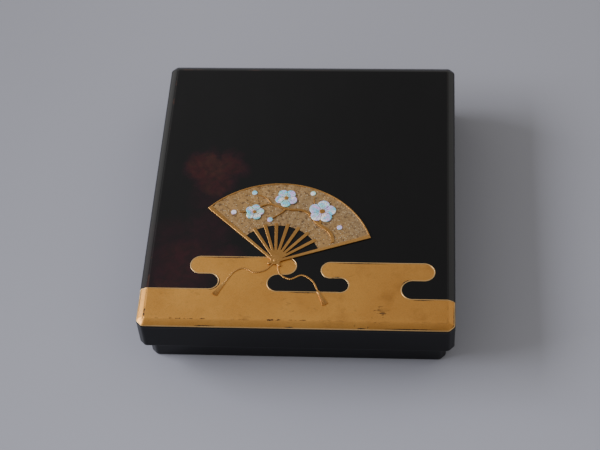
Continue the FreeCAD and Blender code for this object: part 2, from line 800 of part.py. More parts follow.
def brush_pieces(name, x, handle_radius):
    """One brush along a tray: bamboo handle, collar, hair, and the cap over the hair."""
    front = tray_inside_front + brush_front_offset
    shoulder = front + handle_length
    mouth = shoulder + collar_length
    tenon_end = shoulder + handle_tenon
    tip = mouth + hair_length
    collar_radius = handle_radius + collar_step
    tenon_radius = collar_radius - collar_wall
    steps = [((0, front),), ((handle_radius, front),)]
    for share in knot_shares:
        knot = front + share * handle_length
        steps.append(((handle_radius, knot - knot_length),))
        steps.append(((handle_radius + knot_rise, knot), (handle_radius, knot + knot_length)))
    steps += [((handle_radius, shoulder),), ((tenon_radius, shoulder),), ((tenon_radius, tenon_end),),
              ((0, tenon_end),)]
    handle = turned_along_y(steps, x, rest_top)
    handle = handle.makeFillet(handle_end_rounding, end_edges(handle, front))
    collar = pin(collar_radius, shoulder, mouth, x, rest_top).cut(pin(tenon_radius, shoulder, mouth, x, rest_top))
    hair = turned_along_y([
        ((0, tenon_end),), ((tenon_radius, tenon_end),), ((tenon_radius, mouth),), ((handle_radius, mouth),),
        ((handle_radius + hair_belly, mouth + hair_belly_share * hair_length), (hair_tip_radius, tip)),
        ((0, tip),)], x, rest_top)
    bore = collar_radius + cap_fit
    cap_front = mouth - cap_lap
    cap_back = cap_front + cap_length
    cap = pin(bore + cap_wall, cap_front, cap_back, x, rest_top)
    cap = cap.makeFillet(cap_end_rounding, end_edges(cap, cap_back))
    cap = cap.cut(pin(bore, cap_front, cap_back - cap_end_thickness, x, rest_top))
    return {name + "_handle": handle, name + "_collar": collar, name + "_hair": hair, name + "_cap": cap}


def left_tray_fittings():
    """The two brushes and the bars that carry them."""
    broad_x = -tray_centre - brush_spacing / 2
    fine_x = -tray_centre + brush_spacing / 2
    notches = Part.makeCompound([
        pin(broad_handle_radius + rest_gap, tray_inside_front, -tray_inside_front, broad_x, rest_top),
        pin(fine_handle_radius + rest_gap, tray_inside_front, -tray_inside_front, fine_x, rest_top)])
    bars = rest_bars(-tray_centre, brush_front_offset, handle_length, brush_rest_shares, notches)
    pieces = {"left_tray_rests": bars}
    pieces.update(brush_pieces("broad_brush", broad_x, broad_handle_radius))
    pieces.update(brush_pieces("fine_brush", fine_x, fine_handle_radius))
    return pieces


def ink_pieces(x):
    """The split wooden clip, the ink stick in its jaws and the ring that closes them."""
    front = tray_inside_front + clip_front_offset
    jaw = front + clip_length
    middle = tray_bed + tool_lift + clip_thickness / 2
    grip = jaw - ink_grip
    half_pocket = ink_width / 2 + clip_fit
    pocket_rise = ink_thickness / 2 + clip_fit
    clip = rod(clip_width, clip_thickness, clip_edge_rounding, front, jaw, x, middle)
    clip = clip.cut(block(x - half_pocket, x + half_pocket, grip, jaw + overrun,
                          middle - pocket_rise, middle + pocket_rise))
    clip = clip.cut(block(x - clip_width, x + clip_width, jaw - clip_slit_length, jaw + overrun,
                          middle - clip_slit / 2, middle + clip_slit / 2))
    stick = rod(ink_width, ink_thickness, ink_edge_rounding, grip, grip + ink_length, x, middle)
    ring_back = jaw - ring_from_jaw
    ring_front = ring_back - ring_length
    wide = clip_width + 2 * ring_fit
    high = clip_thickness + 2 * ring_fit
    round_inside = clip_edge_rounding + ring_fit
    ring = rod(wide + 2 * ring_wall, high + 2 * ring_wall, round_inside + ring_wall, ring_front, ring_back,
               x, middle)
    ring = ring.cut(rod(wide, high, round_inside, ring_front - overrun, ring_back + overrun, x, middle))
    return {"ink_clip": clip, "ink_stick": stick, "clip_ring": ring}


def knife_pieces(x):
    """The paper knife: a slanted blade let into a flat handle."""
    front = tray_inside_front + knife_front_offset
    shoulder = front + knife_handle_length
    middle = tray_bed + tool_lift + knife_handle_thickness / 2
    low = middle - blade_thickness / 2
    half = blade_width / 2
    tip = shoulder + blade_length
    blade = upright_prism([Vector(x - half, shoulder - blade_tang, low), Vector(x + half, shoulder - blade_tang, low),
                           Vector(x + half, tip, low), Vector(x - half, tip - blade_slant, low)], blade_thickness)
    handle = rod(knife_handle_width, knife_handle_thickness, knife_handle_rounding, front, shoulder, x, middle)
    return {"knife_handle": handle.cut(blade), "knife_blade": blade}


def awl_pieces(x):
    """The awl: a tapered steel point in a waisted handle."""
    front = tray_inside_front + awl_front_offset
    shoulder = front + awl_handle_length
    handle = turned_along_y([
        ((0, front),), ((awl_handle_radius, front),), ((awl_handle_waist, (front + shoulder) / 2),),
        ((awl_handle_radius, shoulder),), ((0, shoulder),)], x, rest_top)
    handle = handle.makeFillet(awl_end_rounding, end_edges(handle, front) + end_edges(handle, shoulder))
    tip = shoulder + awl_point_length
    root = shoulder - awl_tang
    point = turned_along_y([((0, root),), ((awl_point_radius, root),), ((awl_point_radius, shoulder),),
                            ((awl_tip_radius, tip),), ((0, tip),)], x, rest_top)
    return {"awl_handle": handle.cut(point), "awl_point": point}


def right_tray_fittings():
    """The ink clip, the paper knife and the awl, and the bars that carry them."""
    clip_x = tray_centre + clip_offset
    knife_x = tray_centre + knife_offset
    awl_x = tray_centre + awl_offset
    bed = tray_bed + tool_lift
    high = rest_top + overrun
    front = tray_inside_front
    half_clip = clip_width / 2 + rest_gap
    half_knife = knife_handle_width / 2 + rest_gap
    notches = Part.makeCompound([
        block(clip_x - half_clip, clip_x + half_clip, front, -front, bed, high),
        block(knife_x - half_knife, knife_x + half_knife, front, -front, bed, high),
        pin(awl_handle_radius + rest_gap, front, -front, awl_x, rest_top)])
    bars = rest_bars(tray_centre, clip_front_offset, clip_length, tool_rest_shares, notches)
    pieces = {"right_tray_rests": bars}
    pieces.update(ink_pieces(clip_x))
    pieces.update(knife_pieces(knife_x))
    pieces.update(awl_pieces(awl_x))
    return pieces


def all_pieces():
    """Every piece of the writing box by name."""
    blank = cut_slab(body_width, body_depth, body_corner_cut, 0, lid_underside)
    pieces = boarded_box("box", blank, body_width, body_depth, 0, lid_underside, body_wall, body_floor,
                         floor_rebate, body_inner_radius, body_rim_rounding, body_foot_rounding)
    pieces["tray_supports"] = support_blocks()
    pieces.update(lid_pieces())
    pieces.update(relief_pieces())
    pieces.update(tray_pieces("left", -tray_centre))
    pieces.update(tray_pieces("right", tray_centre))
    pieces.update(left_tray_fittings())
    pieces.update(right_tray_fittings())
    pieces.update(centre_board_pieces())
    pieces["inkstone"] = inkstone()
    pieces.update(dropper_pieces())
    return pieces


os.makedirs("parts", exist_ok=True)
for name, shape in all_pieces().items():
    shape.exportStep("parts/" + name + ".step")
    box = shape.BoundBox
    print(name, len(shape.Solids), "solids", round(shape.Volume), "mm3", "valid" if shape.isValid() else "BROKEN",
          [round(v, 2) for v in (box.XMin, box.XMax, box.YMin, box.YMax, box.ZMin, box.ZMax)])
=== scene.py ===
"""Looks of the writing box: lacquer, gold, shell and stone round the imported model, in soft studio light.

Metres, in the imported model's own frame: +X is the box's right, +Y its back and +Z is up. A size that is
times MM is in millimetres.
"""

import json
import math
import random

import bmesh
import bpy
from mathutils import Matrix, Vector


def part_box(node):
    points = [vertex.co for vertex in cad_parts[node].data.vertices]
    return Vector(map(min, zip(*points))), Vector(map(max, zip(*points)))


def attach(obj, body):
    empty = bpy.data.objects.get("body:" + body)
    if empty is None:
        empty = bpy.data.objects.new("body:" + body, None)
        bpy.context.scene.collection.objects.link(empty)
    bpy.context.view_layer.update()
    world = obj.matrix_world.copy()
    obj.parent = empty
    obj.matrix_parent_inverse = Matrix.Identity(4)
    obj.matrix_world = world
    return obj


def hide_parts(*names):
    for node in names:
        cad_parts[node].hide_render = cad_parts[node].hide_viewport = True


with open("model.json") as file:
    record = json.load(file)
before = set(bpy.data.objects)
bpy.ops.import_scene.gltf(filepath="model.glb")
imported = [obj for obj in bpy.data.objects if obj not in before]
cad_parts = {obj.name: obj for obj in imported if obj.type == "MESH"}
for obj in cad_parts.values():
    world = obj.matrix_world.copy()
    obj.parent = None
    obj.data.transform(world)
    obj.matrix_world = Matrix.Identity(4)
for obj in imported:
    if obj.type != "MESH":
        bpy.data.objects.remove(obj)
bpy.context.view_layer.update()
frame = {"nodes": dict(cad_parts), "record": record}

MM = 0.001
UP = Vector((0, 0, 1))
ALONG = Vector((0, 1, 0))
nodes = frame["nodes"]

# Camera, by its place, its heading and its lens
CAMERA_PLACE = Vector((83.0, -715.1, 927.6)) * MM
CAMERA_FORWARD = Vector((-0.07495, 0.60956, -0.78919))
CAMERA_UP = Vector((-0.01374, 0.7907, 0.61204))
CAMERA_LENS = 94.46
CAMERA_SENSOR = 36.0
CAMERA_CLIP = (0.05, 50.0)

# Studio: the floor, painted lighter towards the front and darker at the left as painted light and shade, the
# even light round it, the places in it that differ and the lamp at the left
FLOOR_SIZE = 9.0
FLOOR_BACK = (0.347, 0.345, 0.379, 1)
FLOOR_FRONT_PAINTED_LIGHT = (0.41, 0.411, 0.463, 1)
FLOOR_CHANGE = 0.32
FLOOR_LEFT_PAINTED_SHADE = 0.82
FLOOR_PAINTED_SHADE_FADE = (-0.36, -0.05)
SKY_COLOUR = (1.0, 0.99, 0.96, 1)
SKY_LEVEL = 0.6
SKY_SHOWN = 0.34
KEY_PLACE = Vector((-2.83, 0.07, 1.49))
KEY_SIZE = (2.5, 1.1)
KEY_POWER = 127.5
KEY_COLOUR = (0.96, 0.982, 1.07)

# Where the light round the box differs: direction, angles of the full change and of its end, and the change
SKY_SPOTS = (
    ((0.05, 0.60, 0.80), 2, 27, -0.25),
    ((-0.07, -0.40, 0.91), 5, 36, -0.3),
    ((-0.76, 0.60, 0.16), 4, 27, 0.52),
    ((0.66, 0.60, 0.42), 4, 22, 0.36),
    ((0.0, -0.95, 0.3), 10, 55, -0.32),
)

# Places that the finishes go by: half sizes across and along the box, and heights
LID_RIDGE = (103.6 * MM, 115.85 * MM)
LID_INSIDE = (104.7 * MM, 116.95 * MM)
LID_OUTSIDE = (109.0 * MM, 121.25 * MM)
LID_UNDERSIDE = 41.0 * MM
BEVEL_FOOT = 42.8 * MM
BOX_INSIDE = (99.1 * MM, 111.35 * MM)
BOX_BED = 4.45 * MM
BOX_RIM = 40.9 * MM
TRAY_RIM = 37.7 * MM

# Where a finish changes along a thing or with its height: dried ink on the stone, the knots of the brush
# handles and the ink stain on the brush hair
STONE_INKED_ALONG = (-26 * MM, 0.0)
STONE_INKED_BELOW = (29.4 * MM, 28.3 * MM)
HANDLE_KNOTS = (-64.1 * MM, -13.9 * MM)
HAIR_STAINED = (41 * MM, 56 * MM)

# The rounding of the bevel's two edges, and how far the surface leans at its ridge and at its rim
EDGE_RADIUS = 1.1 * MM
EDGE_LEANS = (0.27, 0.57)

# Old lacquer that has turned reddish, in patches: the middle, the radii of the full tone and of its end, and
# the amount
AGED_PATCHES = (
    ((-72, 18, 46), 10, 20, 1.0), ((-56, 20, 46), 8, 17, 0.85), ((-64, 5, 46), 10, 19, 0.85),
    ((-68, -10, 46), 6, 18, 0.45), ((-66, -38, 46), 9, 24, 0.45), ((-92, -45, 46), 4, 22, 0.4),
    ((-80, -70, 46), 14, 34, 0.7), ((-90, -95, 46), 8, 24, 0.8), ((-48, -66, 46), 6, 16, 0.7),
)


class Graph:
    """The node tree of one material or of the world, built a node at a time."""

    def __init__(self, owner):
        owner.use_nodes = True
        self.tree = owner.node_tree
        self.tree.nodes.clear()

    def add(self, kind, inputs=None, **settings):
        """A node; each of its inputs is a plain value or the socket that feeds it."""
        made = self.tree.nodes.new(kind)
        for name, value in settings.items():
            setattr(made, name, value)
        for key, value in (inputs or {}).items():
            if isinstance(value, bpy.types.NodeSocket):
                self.tree.links.new(value, made.inputs[key])
            else:
                made.inputs[key].default_value = value
        return made

    def place(self):
        """The place on the object, which goes with it at each pose."""
        return self.add("ShaderNodeTexCoord").outputs["Object"]

    def split(self, vector):
        """The three parts of a vector."""
        return self.add("ShaderNodeSeparateXYZ", {"Vector": vector}).outputs

    def stretched(self, vector, scale):
        """A place with each of its parts scaled."""
        return self.add("ShaderNodeVectorMath", {0: vector, 1: scale}, operation="MULTIPLY").outputs[0]

    def noise(self, vector, scale, detail=3.0, roughness=0.5, distortion=0.0):
        """A soft random value between 0 and 1."""
        inputs = {"Vector": vector, "Scale": scale, "Detail": detail, "Roughness": roughness,
                  "Distortion": distortion}
        return self.add("ShaderNodeTexNoise", inputs).outputs["Fac"]

    def cells(self, vector, scale):
        """A pattern of cells, each with its own colour."""
        return self.add("ShaderNodeTexVoronoi", {"Vector": vector, "Scale": scale}).outputs

    def grains(self, cells, size, part, chosen, *amounts):
        """1 on a round grain in some of the cells, chosen by a part of their colour, times the amounts."""
        return self.product(self.ramp(cells["Distance"], *size),
                            self.ramp(self.split(cells["Color"])[part], *chosen), *amounts)

    def ramp(self, value, low, high, to_low=0.0, to_high=1.0):
        """A value carried smoothly from one range to another, and held at its ends."""
        inputs = {"Value": value, "From Min": low, "From Max": high, "To Min": to_low, "To Max": to_high}
        return self.add("ShaderNodeMapRange", inputs, interpolation_type="SMOOTHSTEP").outputs[0]

    def calc(self, operation, first, second=0.0):
        """Arithmetic on one or two values."""
        return self.add("ShaderNodeMath", {0: first, 1: second}, operation=operation).outputs[0]

    def product(self, *values):
        """Values multiplied together."""
        total = values[0]
        for value in values[1:]:
            total = self.calc("MULTIPLY", total, value)
        return total

    def mix(self, share, first, second, blend="MIX"):
        """Two colours mixed by a share."""
        return self.add("ShaderNodeMix", {0: share, 6: first, 7: second}, data_type="RGBA",
                        blend_type=blend).outputs[2]

    def distance(self, vector, point):
        """How far a place is from a point."""
        measured = self.add("ShaderNodeVectorMath", {0: vector, 1: point}, operation="DISTANCE")
        return measured.outputs["Value"]

    def bump(self, height, distance, strength=1.0, normal=None):
        """The surface's direction, tilted by a height that is times a distance."""
        inputs = {"Height": height, "Distance": distance, "Strength": strength}
        if normal is not None:
            inputs["Normal"] = normal
        return self.add("ShaderNodeBump", inputs).outputs[0]

    def beyond(self, parts, rectangle):
        """How far a place is outside a rectangle about the middle, less than nothing inside it."""
        past_side = self.calc("SUBTRACT", self.calc("ABSOLUTE", parts[0]), rectangle[0])
        past_end = self.calc("SUBTRACT", self.calc("ABSOLUTE", parts[1]), rectangle[1])
        return self.calc("MAXIMUM", past_side, past_end)

    def ridge_wear(self, place, parts, scale, low, high):
        """1 where the ridge of the lid's bevel is rubbed through, in a broken line of changing width."""
        width = self.ramp(self.noise(place, scale, 6.0, 0.72), 0.45, 0.62, low, high)
        away = self.calc("ABSOLUTE", self.beyond(parts, LID_RIDGE))
        return self.ramp(self.calc("SUBTRACT", width, away), -0.06 * MM, 0.08 * MM)

    def lid_edges(self, parts):
        """The surface's direction where the two edges of the lid's bevel are a little rounded."""
        from_ridge = self.calc("ABSOLUTE", self.beyond(parts, LID_RIDGE))
        from_rim = self.calc("MAXIMUM", self.calc("SUBTRACT", 0.0, self.beyond(parts, LID_OUTSIDE)),
                             self.calc("SUBTRACT", BEVEL_FOOT, parts[2]))
        height = 0.0
        for away, lean in zip((from_ridge, from_rim), EDGE_LEANS):
            near = self.calc("MAXIMUM", self.calc("SUBTRACT", EDGE_RADIUS, away), 0.0)
            height = self.calc("SUBTRACT", height, self.product(near, near, lean / (2 * EDGE_RADIUS)))
        return self.bump(height, 1.0)

    def surface(self, **sockets):
        """The surface, from the values and sockets of its shader."""
        names = {"color": "Base Color", "specular": "Specular IOR Level", "coat": "Coat Weight",
                 "coat_roughness": "Coat Roughness", "sheen": "Sheen Weight"}
        inputs = {names.get(name, name.capitalize()): value for name, value in sockets.items()}
        shader = self.add("ShaderNodeBsdfPrincipled", inputs)
        self.add("ShaderNodeOutputMaterial", {"Surface": shader.outputs[0]})


def material(name):
    """A new material and its graph."""
    made = bpy.data.materials.new(name)
    return made, Graph(made)


# Studio

def make_camera():
    """The camera, which sees the box from above its front."""
    data = bpy.data.cameras.new("camera")
    data.lens = CAMERA_LENS
    data.sensor_width = CAMERA_SENSOR
    data.clip_start, data.clip_end = CAMERA_CLIP
    camera = bpy.data.objects.new("camera", data)
    right = CAMERA_FORWARD.cross(CAMERA_UP).normalized()
    up = right.cross(CAMERA_FORWARD).normalized()
    turn = Matrix((right, up, -CAMERA_FORWARD.normalized())).transposed()
    camera.matrix_world = Matrix.Translation(CAMERA_PLACE) @ turn.to_4x4()
    bpy.context.scene.collection.objects.link(camera)
    bpy.context.scene.camera = camera


def make_floor():
    """The pale paper that the box stands on, painted lighter towards the front and darker at the left:
    painted light and painted shade.
    """
    half = FLOOR_SIZE / 2
    mesh = bpy.data.meshes.new("floor")
    corners = [(-half, -half, 0), (half, -half, 0), (half, half, 0), (-half, half, 0)]
    mesh.from_pydata(corners, [], [(0, 1, 2, 3)])
    floor = bpy.data.objects.new("floor", mesh)
    bpy.context.scene.collection.objects.link(floor)
    made, graph = material("floor_paper")
    place = graph.place()
    parts = graph.split(place)
    # Painted light: the paper is lighter towards the front.
    painted_light_share = graph.ramp(parts[1], FLOOR_CHANGE, -FLOOR_CHANGE)
    # Painted shade: the paper is darker at the left, which evens out the lamp's stronger light there.
    across = graph.ramp(parts[0], *FLOOR_PAINTED_SHADE_FADE, FLOOR_LEFT_PAINTED_SHADE, 1.0)
    even = graph.add("ShaderNodeCombineColor", {0: across, 1: across, 2: across}).outputs[0]
    colour = graph.mix(1.0, graph.mix(painted_light_share, FLOOR_BACK, FLOOR_FRONT_PAINTED_LIGHT), even, "MULTIPLY")
    grain = graph.bump(graph.noise(place, 900.0, 2.0), 0.1 * MM, 0.3)
    graph.surface(color=colour, roughness=0.85, specular=0.1, normal=grain)
    mesh.materials.append(made)


def make_lights():
    """Light all round, darker over the back and front and brighter at the sides, and a lamp at the left."""
    world = bpy.data.worlds.new("studio")
    bpy.context.scene.world = world
    graph = Graph(world)
    direction = graph.add("ShaderNodeTexCoord").outputs["Generated"]
    level = SKY_LEVEL
    for middle, inner, outer, amount in SKY_SPOTS:
        towards = graph.add("ShaderNodeVectorMath", {0: direction, 1: Vector(middle).normalized()},
                            operation="DOT_PRODUCT").outputs["Value"]
        edge, full = math.cos(math.radians(outer)), math.cos(math.radians(inner))
        level = graph.calc("ADD", level, graph.ramp(towards, edge, full, 0.0, amount))
    seen = graph.add("ShaderNodeLightPath").outputs["Is Camera Ray"]
    shown = graph.product(seen, SKY_SHOWN)
    lit = graph.product(graph.calc("SUBTRACT", 1.0, seen), level)
    strength = graph.calc("ADD", shown, lit)
    light = graph.add("ShaderNodeBackground", {"Color": SKY_COLOUR, "Strength": strength})
    graph.add("ShaderNodeOutputWorld", {"Surface": light.outputs[0]})

    lamp = bpy.data.lights.new("key", "AREA")
    lamp.shape = "RECTANGLE"
    lamp.size, lamp.size_y = KEY_SIZE
    lamp.energy = KEY_POWER
    lamp.color = KEY_COLOUR
    key = bpy.data.objects.new("key", lamp)
    key.location = KEY_PLACE
    key.rotation_mode = "QUATERNION"
    key.rotation_quaternion = (-KEY_PLACE).to_track_quat("-Z", "Y")
    bpy.context.scene.collection.objects.link(key)


# Finishes

def sprinkled(graph, place, ground, share):
    """The tone and metal of lacquer with gold flakes scattered under its surface, as strong as the share."""
    cells = graph.cells(place, 1150.0)
    flake = graph.grains(cells, (0.42, 0.3), 0, (0.66, 0.7), share)
    shade = graph.mix(graph.split(cells["Color"])[1], (0.3, 0.13, 0.03, 1), (0.62, 0.36, 0.1, 1))
    return graph.mix(flake, ground, shade), graph.product(flake, 0.8)


def aged_share(graph, place):
    """How far old lacquer has turned reddish, in patches with ragged edges."""
    wander = graph.product(graph.calc("SUBTRACT", graph.noise(place, 62.0, 5.0, 0.6), 0.5), 20 * MM)
    aged = 0.0
    for middle, inner, outer, amount in AGED_PATCHES:
        away = graph.calc("ADD", graph.distance(place, Vector(middle) * MM), wander)
        aged = graph.calc("MAXIMUM", aged, graph.ramp(away, inner * MM, outer * MM, amount, 0.0))
    return aged


def lid_lacquer(name, left, right, specular):
    """Polished black lacquer, reddish with age at the left, rubbed at its ridge, gold-sprinkled inside. Its
    tone goes from the left colour to the right one, lighter at the left where the lamp is: painted light.
    """
    made, graph = material(name)
    place = graph.place()
    parts = graph.split(place)
    # Painted light: the tone is lighter at the left and darker towards the right.
    ground = graph.mix(graph.ramp(parts[0], -90 * MM, 90 * MM), left, right)
    aged = aged_share(graph, place)
    mottled = graph.ramp(graph.noise(place, 120.0, 4.0, 0.65, 0.6), 0.3, 0.7, 0.45, 1.15)
    reddened = graph.mix(graph.ramp(aged, 0.45, 0.95),
                         (0.029, 0.0078, 0.0128, 1), (0.038, 0.0103, 0.0115, 1))
    browned = graph.product(graph.ramp(graph.noise(place, 75.0, 3.0, 0.6), 0.48, 0.6),
                            graph.ramp(aged, 0.6, 0.95))
    reddened = graph.mix(browned, reddened, (0.042, 0.0148, 0.0128, 1))
    tone = graph.mix(graph.product(aged, mottled), ground, reddened)
    rubbed = graph.product(graph.ridge_wear(place, parts, 36.0, -0.25 * MM, 0.75 * MM),
                           graph.ramp(parts[0], 50 * MM, -70 * MM, 0.05, 0.55))
    tone = graph.mix(rubbed, tone, (0.058, 0.022, 0.014, 1))
    dust = graph.grains(graph.cells(place, 330.0), (0.1, 0.05), 2, (0.955, 0.97), 0.5)
    tone = graph.mix(dust, tone, (0.09, 0.08, 0.07, 1))
    under = graph.product(graph.ramp(graph.beyond(parts, LID_INSIDE), 0.0, -0.05 * MM),
                          graph.ramp(parts[2], LID_UNDERSIDE + 0.1 * MM, LID_UNDERSIDE + 0.05 * MM))
    tone, metal = sprinkled(graph, place, tone, under)
    smears = graph.ramp(graph.noise(graph.stretched(place, (1.0, 0.35, 1.0)), 60.0, 6.0, 0.65),
                        0.35, 0.75, 0.11, 0.2)
    swell = graph.bump(graph.noise(place, 26.0, 2.0), 0.12 * MM, 0.5, graph.lid_edges(parts))
    graph.surface(color=tone, roughness=smears, metallic=metal, specular=specular, normal=swell)
    return made


def box_lacquer():
    """Black lacquer of the box under the lid, a little worn at its rim and gold-sprinkled inside."""
    made, graph = material("box_lacquer")
    place = graph.place()
    parts = graph.split(place)
    within = graph.product(graph.ramp(graph.beyond(parts, BOX_INSIDE), 0.0, -0.05 * MM),
                           graph.ramp(parts[2], BOX_BED - 0.1 * MM, BOX_BED))
    rubbed = graph.product(graph.ramp(parts[2], BOX_RIM - 0.9 * MM, BOX_RIM),
                           graph.ramp(graph.noise(place, 45.0, 5.0, 0.7), 0.5, 0.68), 0.5)
    tone = graph.mix(rubbed, (0.0046, 0.0044, 0.0052, 1), (0.045, 0.02, 0.013, 1))
    tone, metal = sprinkled(graph, place, tone, within)
    smears = graph.ramp(graph.noise(place, 70.0, 5.0, 0.6), 0.35, 0.75, 0.14, 0.24)
    swell = graph.bump(graph.noise(place, 30.0, 2.0), 0.1 * MM, 0.5)
    graph.surface(color=tone, roughness=smears, metallic=metal, specular=0.3, normal=swell)
    return made


def inner_lacquer(name, rim=None):
    """Satin black lacquer of the fittings, gold-sprinkled, and gilt above a rim's height if one is given."""
    made, graph = material(name)
    place = graph.place()
    tone = graph.mix(graph.noise(place, 20.0, 3.0), (0.008, 0.006, 0.0055, 1), (0.014, 0.009, 0.007, 1))
    tone, metal = sprinkled(graph, place, tone, 0.75)
    rough = graph.ramp(graph.noise(place, 90.0, 4.0), 0.3, 0.7, 0.22, 0.34)
    if rim is not None:
        worn = graph.noise(graph.stretched(place, (1.0, 0.5, 1.0)), 170.0, 5.0, 0.7)
        gilt = graph.product(graph.ramp(graph.split(place)[2], rim, rim + 0.15 * MM),
                             graph.ramp(worn, 0.3, 0.46, 0.35, 1.0))
        leaf = graph.mix(graph.noise(place, 1500.0, 1.0), (0.38, 0.2, 0.06, 1), (0.62, 0.36, 0.12, 1))
        tone = graph.mix(gilt, tone, leaf)
        metal = graph.calc("MAXIMUM", metal, graph.product(gilt, 0.85))
        rough = graph.calc("MAXIMUM", rough, graph.product(gilt, 0.38))
    graph.surface(color=tone, roughness=rough, metallic=metal, specular=0.4)
    return made


def gold(name, dark, light, rough, ground=False):
    """Sprinkled gold lacquer with powder, changes of tone and wear.

    The ground is darker at its right and on its front bevel, both painted shade, and rubbed through at the
    ridge.
    """
    made, graph = material(name)
    place = graph.place()
    parts = graph.split(place)
    tone = graph.mix(graph.ramp(graph.noise(place, 20.0, 4.0, 0.6), 0.3, 0.7), dark, light)
    grain = graph.cells(place, 3600.0)
    pick = graph.split(grain["Color"])
    tone = graph.mix(graph.ramp(pick[0], 0.7, 1.0, 0.0, 0.32), tone, (0.8, 0.5, 0.19, 1))
    tone = graph.mix(graph.ramp(pick[1], 0.75, 1.0, 0.0, 0.34), tone, (0.2, 0.085, 0.02, 1))
    marks = graph.noise(graph.stretched(place, (0.6, 1.4, 1.0)), 130.0, 7.0, 0.7)
    worn = graph.product(graph.ramp(marks, 0.575, 0.625),
                         graph.ramp(graph.noise(place, 34.0, 2.0), 0.47, 0.58),
                         graph.ramp(parts[0], -30 * MM, 40 * MM, 0.2, 0.9))
    if ground:
        # Painted shade: the gold is darker towards the right, away from the lamp.
        tone = graph.mix(graph.ramp(parts[0], -70 * MM, 100 * MM, 0.0, 0.35), tone, (0.42, 0.18, 0.042, 1))
        clouded = graph.product(graph.ramp(graph.noise(place, 48.0, 5.0, 0.65), 0.5, 0.75),
                                graph.ramp(parts[0], -40 * MM, 60 * MM, 0.1, 0.5))
        tone = graph.mix(clouded, tone, (0.33, 0.135, 0.03, 1))
        # Painted shade: the gold is darker on the front bevel.
        front_bevel_painted_shade = graph.ramp(parts[1], -LID_RIDGE[1], -LID_RIDGE[1] - 0.4 * MM, 0.0, 0.13)
        tone = graph.mix(front_bevel_painted_shade, tone, (0.05, 0.02, 0.01, 1))
        ridge = graph.product(graph.ridge_wear(place, parts, 118.0, -0.1 * MM, 0.75 * MM),
                              graph.ramp(parts[0], -10 * MM, 40 * MM, 1.0, 0.22),
                              graph.ramp(graph.noise(place, 30.0, 2.0), 0.36, 0.5, 0.1, 1.0))
        worn = graph.calc("MAXIMUM", worn, ridge)
    tone = graph.mix(worn, tone, (0.034, 0.014, 0.006, 1))
    metal = graph.calc("SUBTRACT", 0.8, graph.product(worn, 0.3))
    height = graph.calc("ADD", graph.product(graph.noise(place, 1900.0, 2.0), 0.5),
                        graph.product(graph.noise(place, 90.0, 2.0), 1.2))
    tilt = graph.bump(height, 0.04 * MM, 0.6, graph.lid_edges(parts) if ground else None)
    roughness = graph.calc("ADD", graph.ramp(pick[2], 0.0, 1.0, rough - 0.05, rough + 0.05),
                           graph.product(worn, 0.1))
    graph.surface(color=tone, roughness=roughness, metallic=metal, specular=0.5, normal=tilt)
    return made


def pewter():
    """Thin pewter sheet under worn gold powder: tan, with dark pits and pale bright grains."""
    made, graph = material("pewter_leaf")
    place = graph.place()
    broad = graph.ramp(graph.noise(place, 26.0, 4.0, 0.6), 0.34, 0.66)
    worn = graph.mix(graph.ramp(graph.split(place)[0], -50 * MM, 30 * MM),
                     (0.42, 0.245, 0.097, 1), (0.35, 0.225, 0.108, 1))
    tone = graph.mix(broad, worn, (0.44, 0.25, 0.09, 1))
    pits = graph.ramp(graph.noise(place, 430.0, 5.0, 0.75), 0.51, 0.6)
    tone = graph.mix(graph.product(pits, 0.85), tone, (0.11, 0.06, 0.028, 1))
    bright = graph.grains(graph.cells(place, 950.0), (0.45, 0.25), 0, (0.7, 0.8), 0.8)
    tone = graph.mix(bright, tone, (0.72, 0.57, 0.36, 1))
    height = graph.calc("SUBTRACT", graph.product(bright, 0.5), pits)
    rough = graph.ramp(pits, 0.0, 1.0, 0.42, 0.7)
    graph.surface(color=tone, roughness=rough, metallic=0.45, specular=0.5,
                  normal=graph.bump(height, 0.06 * MM, 0.7))
    return made


def pearl():
    """Mother-of-pearl: white, blue, lilac and green that change from piece to piece, and growth lines."""
    made, graph = material("pearl")
    place = graph.place()
    piece = graph.add("ShaderNodeNewGeometry").outputs["Random Per Island"]
    shift = graph.add("ShaderNodeCombineXYZ", {0: piece, 1: graph.product(piece, 3.7), 2: 0.0}).outputs[0]
    moved = graph.add("ShaderNodeVectorMath", {0: place, 1: shift}, operation="ADD").outputs[0]
    lilac = graph.ramp(graph.noise(moved, 135.0, 2.0, 0.5, 1.2), 0.42, 0.56)
    green = graph.ramp(graph.noise(moved, 90.0, 2.0, 0.5, 1.6), 0.5, 0.64)
    white = graph.ramp(graph.noise(moved, 180.0, 2.0, 0.5, 1.0), 0.5, 0.66)
    tone = graph.mix(lilac, (0.16, 0.7, 0.92, 1), (0.72, 0.54, 1.0, 1))
    tone = graph.mix(green, tone, (0.4, 0.95, 0.76, 1))
    tone = graph.mix(white, tone, (1.0, 1.0, 1.0, 1))
    growth = {"Vector": moved, "Scale": 420.0, "Distortion": 5.0, "Detail": 3.0, "Detail Scale": 0.6}
    lines = graph.add("ShaderNodeTexWave", growth).outputs["Fac"]
    tone = graph.mix(graph.product(graph.ramp(lines, 0.75, 1.0), 0.35), tone, (0.33, 0.36, 0.42, 1))
    graph.surface(color=tone, roughness=0.22, metallic=0.0, specular=0.6, coat=0.6, coat_roughness=0.08,
                  normal=graph.bump(lines, 0.02 * MM, 0.4))
    return made


